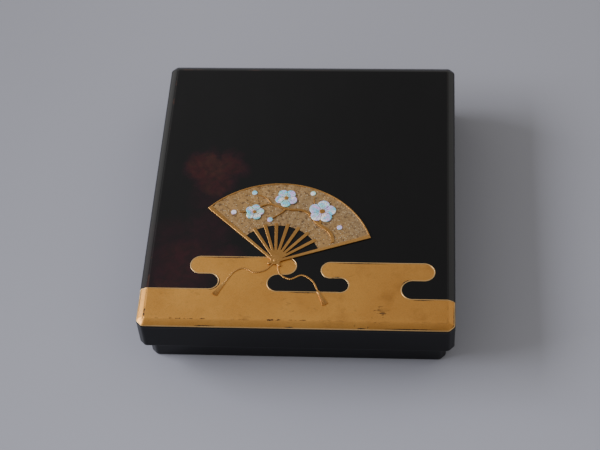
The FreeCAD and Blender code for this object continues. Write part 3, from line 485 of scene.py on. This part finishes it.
def slate():
    """Fine-grained dark stone, ground smooth, with dried ink in and round its well."""
    made, graph = material("slate_stone")
    place = graph.place()
    parts = graph.split(place)
    veins = graph.noise(graph.stretched(place, (1.0, 0.45, 2.0)), 42.0, 6.0, 0.6, 0.8)
    tone = graph.mix(graph.ramp(veins, 0.35, 0.7), (0.036, 0.035, 0.042, 1), (0.062, 0.06, 0.068, 1))
    mica = graph.grains(graph.cells(place, 900.0), (0.3, 0.15), 0, (0.9, 0.93), 0.6)
    tone = graph.mix(mica, tone, (0.3, 0.29, 0.27, 1))
    ragged = graph.calc("ADD", parts[1], graph.product(graph.noise(place, 75.0, 5.0), 14 * MM))
    inked = graph.product(graph.ramp(ragged, *STONE_INKED_ALONG), graph.ramp(parts[2], *STONE_INKED_BELOW))
    tone = graph.mix(graph.product(inked, 0.88), tone, (0.006, 0.006, 0.008, 1))
    rough = graph.calc("SUBTRACT", 0.55, graph.product(inked, 0.22))
    grain = graph.calc("ADD", graph.noise(place, 1400.0, 2.0), graph.noise(place, 160.0, 3.0))
    graph.surface(color=tone, roughness=rough, specular=0.45, normal=graph.bump(grain, 0.05 * MM, 0.5))
    return made


def handled_metal(name, dark, light, rough, stain=None):
    """Metal that is often held: fine scratches, a slow change of tone, and a stain if one is given."""
    made, graph = material(name)
    place = graph.place()
    tone = graph.mix(graph.ramp(graph.noise(place, 60.0, 5.0, 0.65), 0.3, 0.7), dark, light)
    if stain is not None:
        tone = graph.mix(graph.ramp(graph.noise(place, 110.0, 6.0, 0.7), 0.52, 0.66, 0.0, 0.8), tone, stain)
    scratch = graph.noise(graph.stretched(place, (1.0, 0.06, 1.0)), 2200.0, 2.0)
    roughness = graph.ramp(graph.noise(place, 300.0, 4.0), 0.3, 0.7, rough - 0.07, rough + 0.1)
    graph.surface(color=tone, roughness=roughness, metallic=1.0,
                  normal=graph.bump(scratch, 0.02 * MM, 0.35))
    return made


def bamboo():
    """Polished bamboo: fine long fibres, honey tones, and dark rings at its knots."""
    made, graph = material("bamboo_cane")
    place = graph.place()
    fibre = graph.noise(graph.stretched(place, (1.0, 0.03, 1.0)), 1500.0, 4.0, 0.6)
    tone = graph.mix(graph.ramp(fibre, 0.3, 0.7), (0.3, 0.17, 0.065, 1), (0.5, 0.33, 0.15, 1))
    smoked = graph.ramp(graph.noise(place, 34.0, 4.0), 0.5, 0.72, 0.0, 0.7)
    tone = graph.mix(smoked, tone, (0.21, 0.1, 0.035, 1))
    along = graph.split(place)[1]
    for knot in HANDLE_KNOTS:
        away = graph.calc("ABSOLUTE", graph.calc("SUBTRACT", along, knot))
        tone = graph.mix(graph.ramp(away, 0.15 * MM, 0.9 * MM, 0.85, 0.0), tone, (0.09, 0.04, 0.015, 1))
    graph.surface(color=tone, roughness=0.36, specular=0.5, coat=0.25, coat_roughness=0.2,
                  normal=graph.bump(fibre, 0.04 * MM, 0.5))
    return made


def horn():
    """Dark polished buffalo horn with long pale streaks."""
    made, graph = material("dark_horn")
    place = graph.place()
    streak = graph.noise(graph.stretched(place, (1.0, 0.2, 1.0)), 420.0, 4.0, 0.6)
    tone = graph.mix(graph.ramp(streak, 0.5, 0.75), (0.014, 0.01, 0.008, 1), (0.11, 0.06, 0.03, 1))
    graph.surface(color=tone, roughness=0.25, specular=0.5)
    return made


def hair():
    """Brush hair: tawny, darker to its tip where ink has stained it, each lock with its own tone."""
    made, graph = material("brush_hair")
    place = graph.place()
    lock = graph.add("ShaderNodeNewGeometry").outputs["Random Per Island"]
    tone = graph.mix(lock, (0.17, 0.085, 0.035, 1), (0.42, 0.26, 0.13, 1))
    stained = graph.ramp(graph.split(place)[1], *HAIR_STAINED, 0.0, 0.92)
    tone = graph.mix(stained, tone, (0.02, 0.017, 0.016, 1))
    graph.surface(color=tone, roughness=0.5, specular=0.4, sheen=0.2)
    return made


def ink_cake():
    """Pressed ink: dense black, matt, faintly bronzed in patches."""
    made, graph = material("pressed_ink")
    place = graph.place()
    bronzed = graph.ramp(graph.noise(place, 80.0, 5.0, 0.65), 0.5, 0.75, 0.0, 0.6)
    tone = graph.mix(bronzed, (0.008, 0.008, 0.01, 1), (0.03, 0.022, 0.016, 1))
    grain = graph.noise(place, 1100.0, 3.0)
    rough = graph.ramp(grain, 0.3, 0.7, 0.34, 0.5)
    graph.surface(color=tone, roughness=rough, specular=0.45, normal=graph.bump(grain, 0.03 * MM, 0.5))
    return made


def tool_lacquer():
    """Reddish-brown lacquer wiped over wood, with the grain showing through."""
    made, graph = material("wiped_lacquer")
    place = graph.place()
    grain = graph.noise(graph.stretched(place, (1.0, 0.05, 1.0)), 700.0, 5.0, 0.65, 0.4)
    tone = graph.mix(graph.ramp(grain, 0.35, 0.65), (0.035, 0.009, 0.005, 1), (0.12, 0.036, 0.015, 1))
    graph.surface(color=tone, roughness=0.27, specular=0.5, coat=0.4, coat_roughness=0.12,
                  normal=graph.bump(grain, 0.03 * MM, 0.4))
    return made


# Forms

SHARP_ANGLE = 50
WELD_DISTANCE = 0.001 * MM


class Form:
    """Points and faces that grow into one mesh."""

    def __init__(self):
        self.points = []
        self.faces = []

    def sweep(self, path, rings, ups=None, closed=False):
        """A skin along a path: each ring gives its offsets across the path and up from it."""
        ups = ups or [UP] * len(path)
        first = len(self.points)
        count = len(path)
        size = len(rings[0])
        for i, point in enumerate(path):
            if closed:
                along = path[(i + 1) % count] - path[i - 1]
            else:
                along = path[min(i + 1, count - 1)] - path[max(i - 1, 0)]
            across = along.cross(ups[i]).normalized()
            lift = across.cross(along).normalized()
            self.points += [point + across * a + lift * b for a, b in rings[i]]
        for i in range(count if closed else count - 1):
            here = first + i * size
            there = first + (i + 1) % count * size
            for k in range(size):
                after = (k + 1) % size
                self.faces.append((here + k, there + k, there + after, here + after))
        if not closed:
            self.faces.append(tuple(range(first, first + size)))
            self.faces.append(tuple(reversed(range(len(self.points) - size, len(self.points)))))

    def line(self, path, ring, ups=None, closed=False):
        """A skin along a path, with the same ring all the way."""
        self.sweep(path, [ring] * len(path), ups, closed)

    def mesh(self):
        """The mesh, smooth except across sharp edges."""
        made = bpy.data.meshes.new("form")
        made.from_pydata(self.points, [], self.faces)
        made.shade_smooth()
        made.set_sharp_from_angle(angle=math.radians(SHARP_ANGLE))
        return made


def circle(radius, sides, flat=1.0):
    """A ring of offsets on a circle, or on an ellipse that is flatter upward."""
    turns = [2 * math.pi * k / sides for k in range(sides)]
    return [(radius * math.cos(t), radius * flat * math.sin(t)) for t in turns]


def low_arch(half_width, rise, sink, steps=6):
    """A ring of offsets for a low rounded line that is let into the ground by its sink."""
    turns = [math.pi * k / steps for k in range(steps + 1)]
    arch = [(half_width * math.cos(t), rise * math.sin(t)) for t in turns]
    return [(half_width, -sink)] + arch + [(-half_width, -sink)]


def between(ends, share):
    """The value at a share of the way between two."""
    return ends[0] + (ends[1] - ends[0]) * share


def smooth_path(points, steps):
    """A smooth line through points, with some steps between each two."""
    path = []
    last = len(points) - 1
    for i in range(last):
        a, b, c, d = points[max(i - 1, 0)], points[i], points[i + 1], points[min(i + 2, last)]
        for k in range(steps):
            t = k / steps
            path.append((b * 2 + (c - a) * t + (a * 2 - b * 5 + c * 4 - d) * t ** 2
                         + (b * 3 - a - c * 3 + d) * t ** 3) / 2)
    path.append(points[last])
    return path


def evenly(points, ups, step):
    """A line's points and up directions again, at even steps along it."""
    line = [points[0]]
    tops = [ups[0]]
    left = step
    for i in range(1, len(points)):
        here = points[i - 1]
        length = (points[i] - here).length
        gone = left
        while gone < length:
            share = gone / length
            line.append(here.lerp(points[i], share))
            tops.append(ups[i - 1].lerp(ups[i], share).normalized())
            gone += step
        left = gone - length
    return line, tops


def add_piece(name, mesh, body, look, replaced=None):
    """A new piece with its body and look, in place of a node if one is named."""
    mesh.name = name
    mesh.materials.clear()
    mesh.materials.append(look)
    piece = bpy.data.objects.new(name, mesh)
    bpy.context.scene.collection.objects.link(piece)
    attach(piece, body)
    if replaced:
        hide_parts(replaced)


def welded(node):
    """A node's mesh with the points that share a place joined."""
    form = bmesh.new()
    form.from_mesh(nodes[node].data)
    bmesh.ops.remove_doubles(form, verts=form.verts, dist=WELD_DISTANCE)
    form.normal_update()
    return form


def islands(node):
    """The points of each separate solid of a node."""
    form = welded(node)
    seen = set()
    found = []
    for start in form.verts:
        if start in seen:
            continue
        seen.add(start)
        group = [start]
        for vert in group:
            for edge in vert.link_edges:
                other = edge.other_vert(vert)
                if other not in seen:
                    seen.add(other)
                    group.append(other)
        found.append([vert.co.copy() for vert in group])
    form.free()
    return found


def middle_of(points):
    """The middle of the box round some points."""
    low = Vector(tuple(min(point[i] for point in points) for i in range(3)))
    high = Vector(tuple(max(point[i] for point in points) for i in range(3)))
    return (low + high) / 2


def model_by_hand(node, look, voxel, passes):
    """A node of the lid with softened edges, as lacquer that was built up by hand."""
    source = bpy.data.objects.new(node + "_source", nodes[node].data.copy())
    bpy.context.scene.collection.objects.link(source)
    remesh = source.modifiers.new("grain", "REMESH")
    remesh.mode = "VOXEL"
    remesh.voxel_size = voxel
    soften = source.modifiers.new("soften", "SMOOTH")
    soften.factor = 0.5
    soften.iterations = passes
    graph = bpy.context.evaluated_depsgraph_get()
    mesh = bpy.data.meshes.new_from_object(source.evaluated_get(graph))
    bpy.data.objects.remove(source)
    mesh.shade_smooth()
    add_piece(node + "_modelled", mesh, "lid", look, node)


# Pieces of the lid

# The nodes whose edges are softened: the slot, the size of the new mesh's cells and the passes of smoothing
HAND_MODELLED = (
    ("fan_sticks", "raised_gold", 0.22 * MM, 5), ("fan_rim", "raised_gold", 0.2 * MM, 4),
    ("plum_branch", "raised_gold", 0.2 * MM, 5), ("plum_centres", "raised_gold", 0.18 * MM, 4),
    ("plum_petals", "pearl_shell", 0.16 * MM, 4), ("plum_buds", "pearl_shell", 0.16 * MM, 4),
)

# The line round the gold field: half its width, how far it rises and how deep it is let in
CLOUD_LINE = (0.36 * MM, 0.2 * MM, 0.1 * MM)

# The marks of wear beside that line. Their start, lengths and gaps are counted in steps, and their rise comes
# with how deep they are let in.
WEAR_SEED = 7
WEAR_INSET = 0.72 * MM
WEAR_HALF_WIDTH = 0.42 * MM
WEAR_RISE = (0.05 * MM, 0.1 * MM)
WEAR_STEP = 0.6 * MM
WEAR_START = 30
WEAR_LENGTHS = (8, 70)
WEAR_GAPS = (8, 90)

# The cord: its two ends in shares of its scale from the fan's rivet, and the strands that twist round them
CORD_PATHS = (
    ((-0.02, -0.03), (-0.10, -0.12), (-0.21, -0.15), (-0.32, -0.10), (-0.42, -0.15), (-0.50, -0.28)),
    ((0.02, -0.03), (0.05, -0.16), (0.16, -0.23), (0.28, -0.18), (0.39, -0.25), (0.45, -0.37)),
)
CORD_SCALE = 68 * MM
CORD_HEIGHT = 0.24 * MM
CORD_STEPS = 26
CORD_STRAND = 0.33 * MM
STRAND_FLATNESS = 0.7
CORD_TWIST = 2.6 * MM
TWIST_FLATNESS = 0.55

# The tassels: a head and its threads, with their radii in millimetres
HEAD_RADII = (0.5, 0.95, 1.2, 1.25, 1.15, 0.8, 1.05, 1.15)
HEAD_STEP = 0.5 * MM
HEAD_FLATNESS = 0.32
TASSEL_LENGTH = 13 * MM
THREAD_START = 3.3 * MM
THREAD_COUNT = 11
THREAD_STEPS = 8
THREAD_RADII = (0.26, 0.18)

# The stamens of a blossom, whose petals are those within its reach. They start and end at shares of the
# petals' distance from its middle, and their tips have radii in millimetres.
PETAL_REACH = 8 * MM
STAMEN_COUNT = 15
STAMEN_START = 0.36
STAMEN_ENDS = (0.72, 0.88)
STAMEN_LINE = (0.13 * MM, 0.1 * MM, 0.12 * MM)
TIP_RADII = (0.1, 0.24, 0.31, 0.33, 0.31, 0.24, 0.1)
TIP_STEP = 0.11 * MM

# The veins of a petal: their angles from its middle line and half widths in millimetres. Their start and step
# are shares of the petals' distance too.
VEIN_ANGLES = (-0.24, 0, 0.24)
VEIN_HALF_WIDTHS = (0.11, 0.1, 0.08, 0.04)
VEIN_RISE = (0.06 * MM, 0.1 * MM)
VEIN_START = 1.08
VEIN_STEP = 0.16


def cloud_chains():
    """The lines where the gold's upper side ends: the points, up and inward there, and whether they close."""
    form = welded("gold_cloud")
    links = {}
    ups = {}
    inwards = {}
    for edge in form.edges:
        tops = [face for face in edge.link_faces if face.normal.z > 0.5]
        ends = [face for face in edge.link_faces if face.normal.z < -0.95 or abs(face.normal.z) < 0.05]
        if len(tops) != 1 or len(ends) != 1:
            continue
        for vert in edge.verts:
            links.setdefault(vert, []).append(edge.other_vert(vert))
            ups[vert] = ups.get(vert, Vector((0, 0, 0))) + tops[0].normal
            along = (edge.verts[1].co - edge.verts[0].co).normalized()
            inward = tops[0].calc_center_median() - edge.verts[0].co
            inward -= along * inward.dot(along)
            inwards[vert] = inwards.get(vert, Vector((0, 0, 0))) + inward.normalized()
    chains = []
    left = set(links)
    for start in sorted(links, key=lambda vert: (len(links[vert]) != 1, vert.index)):
        if start not in left:
            continue
        left.discard(start)
        chain = [start]
        closed = False
        while True:
            onward = [vert for vert in links[chain[-1]] if vert in left]
            if not onward:
                closed = len(chain) > 2 and start in links[chain[-1]]
                break
            left.discard(onward[0])
            chain.append(onward[0])
        chains.append(([vert.co.copy() for vert in chain], [ups[vert].normalized() for vert in chain],
                       [inwards[vert].normalized() for vert in chain], closed))
    form.free()
    return chains


def gold_edge(look, rubbed_look):
    """The raised line round the gold field, in a paler gold that is a painted highlight, and marks of wear
    along it where the gold is rubbed through.
    """
    raised_line = Form()
    rubbed = Form()
    draw = random.Random(WEAR_SEED)
    for points, ups, inwards, closed in cloud_chains():
        raised_line.line(points, low_arch(*CLOUD_LINE), ups, closed)
        beside = [point + inward * WEAR_INSET for point, inward in zip(points, inwards)]
        line, tops = evenly(beside, ups, WEAR_STEP)
        first = draw.randrange(WEAR_START)
        while first + WEAR_LENGTHS[0] < len(line):
            last = min(first + draw.randrange(*WEAR_LENGTHS), len(line))
            length = last - first
            rings = []
            for i in range(length):
                taper = math.sin(math.pi * (i + 0.6) / (length + 0.2))
                rings.append(low_arch(WEAR_HALF_WIDTH * draw.uniform(0.45, 1.0) * taper, *WEAR_RISE, 4))
            rubbed.sweep(line[first:last], rings, tops[first:last])
            first = last + draw.randrange(*WEAR_GAPS)
    add_piece("gold_cloud_edge", raised_line.mesh(), "lid", look)
    add_piece("gold_cloud_wear", rubbed.mesh(), "lid", rubbed_look)


def add_cord(form, path):
    """A cord of two strands that twist about a path."""
    for strand in (0, 1):
        turn = math.pi * strand
        line = []
        for i, point in enumerate(path):
            along = (path[min(i + 1, len(path) - 1)] - path[max(i - 1, 0)]).normalized()
            across = along.cross(UP)
            if i:
                turn += 2 * math.pi * (point - path[i - 1]).length / CORD_TWIST
            line.append(point + across * (CORD_STRAND * math.cos(turn))
                        + UP * (CORD_STRAND * TWIST_FLATNESS * math.sin(turn)))
        form.line(line, circle(CORD_STRAND, 8, STRAND_FLATNESS))


def add_tassel(form, end, along):
    """A tassel: a rounded head with a neck, and threads that spread a little."""
    across = along.cross(UP)
    head = [end + along * (k * HEAD_STEP) for k in range(len(HEAD_RADII))]
    form.sweep(head, [circle(radius * MM, 12, HEAD_FLATNESS) for radius in HEAD_RADII])
    for k in range(THREAD_COUNT):
        side = 2 * k / (THREAD_COUNT - 1) - 1
        ripple = 0.12 * MM * math.sin(k * 2.4)
        height = 0.02 * MM + 0.08 * MM * math.cos(side * 1.4)
        thread = []
        rings = []
        for step in range(THREAD_STEPS + 1):
            share = step / THREAD_STEPS
            spread = side * (0.85 + 1.15 * share ** 1.3) * MM
            reach = THREAD_START + share * (TASSEL_LENGTH - THREAD_START) * (1 - 0.06 * abs(side))
            thread.append(end + along * reach + across * (spread + ripple * share) + UP * height)
            rings.append(circle(between(THREAD_RADII, share) * MM, 6))
        form.sweep(thread, rings)


def fan_cord(look):
    """The twisted cord of the fan and its two tassels."""
    pivot = middle_of([vert.co for vert in nodes["fan_rivet"].data.vertices])
    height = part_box("fan_cord")[0].z + CORD_HEIGHT
    cords = Form()
    tassels = Form()
    for shares in CORD_PATHS:
        points = [Vector((pivot.x + x * CORD_SCALE, pivot.y + y * CORD_SCALE, height)) for x, y in shares]
        add_cord(cords, smooth_path(points, CORD_STEPS))
        add_tassel(tassels, points[-1], (points[-1] - points[-2]).normalized())
    add_piece("fan_cord_twisted", cords.mesh(), "lid", look, "fan_cord")
    add_piece("fan_tassel_threads", tassels.mesh(), "lid", look, "fan_tassels")


def outward(angle):
    """The level direction at an angle."""
    return Vector((math.cos(angle), math.sin(angle), 0))


def blossom_details(look):
    """Stamens round each blossom's middle, and three fine veins on each petal, all in gold line."""
    form = Form()
    hearts = [middle_of(points) for points in islands("plum_centres")]
    petals = [middle_of(points) for points in islands("plum_petals")]
    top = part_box("plum_petals")[1].z
    for heart in hearts:
        heart.z = top
        own = [(petal - heart).xy for petal in petals if (petal - heart).xy.length < PETAL_REACH]
        reach = sum(petal.length for petal in own) / len(own)
        angles = [math.atan2(petal.y, petal.x) for petal in own]
        for k in range(STAMEN_COUNT):
            out = outward(angles[0] + 2 * math.pi * (k + 0.5) / STAMEN_COUNT)
            stamen = (reach * STAMEN_START, reach * STAMEN_ENDS[k % 2])
            form.line([heart + out * between(stamen, i / 3) for i in range(4)], low_arch(*STAMEN_LINE, 4))
            tip = [heart + out * (stamen[1] + i * TIP_STEP) for i in range(-3, 4)]
            form.sweep(tip, [low_arch(radius * MM, 0.45 * radius * MM, 0.12 * MM) for radius in TIP_RADII])
        for angle in angles:
            for turn in VEIN_ANGLES:
                out = outward(angle + turn)
                vein = [heart + out * (reach * (VEIN_START + VEIN_STEP * i)) for i in range(4)]
                form.sweep(vein, [low_arch(width * MM, *VEIN_RISE, 4) for width in VEIN_HALF_WIDTHS])
    add_piece("plum_stamens", form.mesh(), "lid", look)


# Pieces inside the box

# The brush hair: its radius at each brush's collar, its root inside the collar, a core that fills it and the
# locks round that, with their radii in millimetres
HAIR_RADII = {"broad_brush": 3.45 * MM, "fine_brush": 2.75 * MM}
HAIR_ROOT = 1.5 * MM
CORE_STEPS = 14
CORE_LENGTH = 0.97
CORE_RADIUS = 0.86
LOCK_COUNT = 96
LOCK_STEPS = 8
LOCK_RADII = (0.2, 0.04)

# The ink's frame and the waves inside it. A line is half its width, its rise and how deep it is let in.
FRAME_FROM_SIDE = 1.8 * MM
FRAME_FROM_HOLDER = 3 * MM
FRAME_FROM_END = 2.5 * MM
FRAME_LINE = (0.3 * MM, 0.22 * MM, 0.1 * MM)
WAVE_COUNT = 9
WAVE_STEPS = 12
WAVE_INSET = 0.9 * MM
WAVE_HEIGHT = 0.7 * MM
WAVE_LINE = (0.2 * MM, 0.16 * MM, 0.1 * MM)


def hair_radius(share, radius):
    """How thick the hair is at a share of the way from the collar to its tip."""
    belly = 1 + 0.06 * math.sin(math.pi * min(share / 0.55, 1.0))
    return radius * belly * (1 - share ** 2.6) + 0.12 * MM * share


def brush_hair(name, radius, look):
    """A brush's hair as locks that lie on a full core and close to a point."""
    low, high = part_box(name + "_hair")
    root = (low + high) / 2
    root.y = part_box(name + "_collar")[1].y - HAIR_ROOT
    length = high.y - root.y
    form = Form()
    shares = [i / CORE_STEPS for i in range(CORE_STEPS + 1)]
    form.sweep([root + ALONG * (length * CORE_LENGTH * share) for share in shares],
               [circle(hair_radius(share, radius) * CORE_RADIUS, 24) for share in shares])
    draw = random.Random(name)
    for k in range(LOCK_COUNT):
        turn = 2 * math.pi * (k + draw.uniform(-0.3, 0.3)) / LOCK_COUNT
        sway = draw.uniform(-0.12, 0.12)
        layer = draw.uniform(0.86, 0.98)
        reach = draw.uniform(0.86, 1.0)
        lock = []
        rings = []
        for i in range(LOCK_STEPS + 1):
            share = reach * i / LOCK_STEPS
            angle = turn + sway * share
            out = Vector((math.cos(angle), 0, math.sin(angle)))
            lock.append(root + ALONG * (length * share) + out * hair_radius(share, radius) * layer)
            rings.append(circle(between(LOCK_RADII, i / LOCK_STEPS) * MM, 5))
        form.sweep(lock, rings, [Vector((-math.sin(turn), 0, math.cos(turn)))] * len(lock))
    add_piece(name + "_locks", form.mesh(), name, look, name + "_hair")


def ink_frame(look):
    """The raised frame on the ink stick's upper side, and waves inside it."""
    low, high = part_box("ink_stick")
    top = high.z
    left, right = low.x + FRAME_FROM_SIDE, high.x - FRAME_FROM_SIDE
    front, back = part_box("ink_clip")[1].y + FRAME_FROM_HOLDER, high.y - FRAME_FROM_END
    form = Form()
    corners = [Vector((x, y, top)) for x, y in ((left, front), (right, front), (right, back), (left, back))]
    path = [corner.lerp(onward, share) for corner, onward in zip(corners, corners[1:] + corners[:1])
            for share in (0.03, 0.5, 0.97)]
    form.line(path, low_arch(*FRAME_LINE), closed=True)
    reach = (right - left) / 2 - WAVE_INSET
    for row in range(WAVE_COUNT):
        y = between((front, back), (row + 1) / (WAVE_COUNT + 1))
        wave = []
        for i in range(-WAVE_STEPS, WAVE_STEPS + 1):
            swing = WAVE_HEIGHT * math.sin(i * math.pi / 4 + row * math.pi)
            wave.append(Vector(((left + right) / 2 + reach * i / WAVE_STEPS, y + swing, top)))
        form.line(wave, low_arch(*WAVE_LINE, 4))
    add_piece("ink_stick_relief", form.mesh(), "ink", look)


make_camera()
make_floor()
make_lights()

raised = gold("raised_gold", (0.42, 0.2, 0.05, 1), (0.62, 0.32, 0.09, 1), 0.34)
# A paler gold for the raised line round the gold field: a real raised line, with a painted highlight in its
# colour.
pale = gold("pale_gold_painted_highlight", (0.6, 0.37, 0.14, 1), (0.78, 0.51, 0.23, 1), 0.36)
looks = {
    "black_lacquer": box_lacquer(),
    "inner_lacquer": inner_lacquer("board_lacquer"),
    "tray_lacquer": inner_lacquer("tray_lacquer", TRAY_RIM),
    "gold_lacquer": gold("gold_ground", (0.65, 0.292, 0.058, 1), (0.8, 0.386, 0.084, 1), 0.42, True),
    "raised_gold": raised,
    "pewter": pewter(),
    "pearl_shell": pearl(),
    "slate": slate(),
    "copper": handled_metal("dark_copper", (0.16, 0.06, 0.032, 1), (0.33, 0.14, 0.075, 1), 0.36,
                            (0.05, 0.028, 0.022, 1)),
    "silver": handled_metal("old_silver", (0.5, 0.48, 0.45, 1), (0.64, 0.63, 0.6, 1), 0.3,
                            (0.3, 0.26, 0.22, 1)),
    "bamboo": bamboo(),
    "horn": horn(),
    "hair": hair(),
    "ink": ink_cake(),
    "tool_lacquer": tool_lacquer(),
    "steel": handled_metal("ground_steel", (0.4, 0.4, 0.41, 1), (0.5, 0.5, 0.51, 1), 0.28),
}
for row in frame["record"]["subparts"]:
    nodes[row["node"]].material_slots[0].material = looks[row["material_slot"]]
# The lid's lacquer, lighter at its left than at its right: painted light.
lid_look = lid_lacquer("lid_lacquer", (0.0078, 0.0076, 0.008, 1), (0.0042, 0.004, 0.0044, 1), 0.3)
# The lid's walls get a darker, less shiny copy of the lid's lacquer: painted shade.
shaded_wall_look = lid_lacquer("lid_wall_painted_shade_lacquer", (0.0034, 0.0034, 0.0036, 1), (0.003, 0.003, 0.0032, 1), 0.2)
nodes["lid_panel"].material_slots[0].material = lid_look
for side in ("front", "back", "left", "right"):
    nodes["lid_" + side + "_wall"].material_slots[0].material = shaded_wall_look

gold_edge(pale, lid_look)
for node, slot, voxel, passes in HAND_MODELLED:
    model_by_hand(node, looks[slot], voxel, passes)
fan_cord(raised)
blossom_details(raised)
for brush, radius in HAIR_RADII.items():
    brush_hair(brush, radius, looks["hair"])
ink_frame(looks["ink"])
